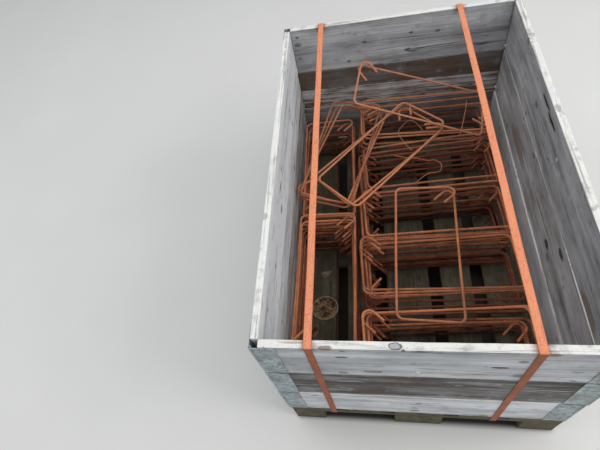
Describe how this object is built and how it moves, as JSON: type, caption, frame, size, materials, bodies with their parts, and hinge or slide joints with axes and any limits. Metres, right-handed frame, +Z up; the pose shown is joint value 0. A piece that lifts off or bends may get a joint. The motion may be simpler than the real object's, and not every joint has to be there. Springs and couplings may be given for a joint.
{
  "type": "bundle of rebar stirrups in a pallet crate",
  "caption": "Bent reinforcing-bar stirrups with hooked ends, stacked flat in a wooden pallet-collar crate and held by steel straps",
  "frame": {"origin": "on the floor under the middle of the pallet", "axes": "+Z up, +Y along the pallet's long side towards the back, +X to the right"},
  "size_m": [0.8124, 1.2064, 0.7303],
  "materials": {
    "rusty_bar": "ribbed bar with orange-brown rust, darker deep in the stacks",
    "rusty_strap": "flat strap with even orange rust",
    "galvanised_steel": "zinc coated, dull and spangled",
    "collar_wood": "bare softwood boards, weathered silver grey with knots",
    "pallet_wood": "bare softwood, weathered grey-brown and damp"
  },
  "bodies": {
    "root": {"crossing_stirrups": "rusty_bar", "leaning_stirrup": "rusty_bar", "left_stack_1": "rusty_bar", "left_stack_2": "rusty_bar", "left_strap": "rusty_strap", "loose_stirrup": "rusty_bar", "lower_collar_back_boards": "collar_wood", "lower_collar_end_hinge_leaves": "galvanised_steel", "lower_collar_front_boards": "collar_wood", "lower_collar_hinge_pins": "galvanised_steel", "lower_collar_left_boards": "collar_wood", "lower_collar_right_boards": "collar_wood", "lower_collar_side_hinge_leaves": "galvanised_steel", "middle_collar_back_boards": "collar_wood", "middle_collar_end_hinge_leaves": "galvanised_steel", "middle_collar_front_boards": "collar_wood", "middle_collar_hinge_pins": "galvanised_steel", "middle_collar_left_boards": "collar_wood", "middle_collar_right_boards": "collar_wood", "middle_collar_side_hinge_leaves": "galvanised_steel", "pallet_blocks": "pallet_wood", "pallet_cross_boards": "pallet_wood", "pallet_deck_boards": "pallet_wood", "pallet_runners": "pallet_wood", "right_stack_1": "rusty_bar", "right_stack_2": "rusty_bar", "right_stack_3": "rusty_bar", "right_stack_4": "rusty_bar", "right_stack_5": "rusty_bar", "right_strap": "rusty_strap", "slanted_stirrups": "rusty_bar", "upper_collar_back_boards": "collar_wood", "upper_collar_end_hinge_leaves": "galvanised_steel", "upper_collar_front_boards": "collar_wood", "upper_collar_hinge_pins": "galvanised_steel", "upper_collar_left_boards": "collar_wood", "upper_collar_right_boards": "collar_wood", "upper_collar_side_hinge_leaves": "galvanised_steel"}
  },
  "joints": []
}
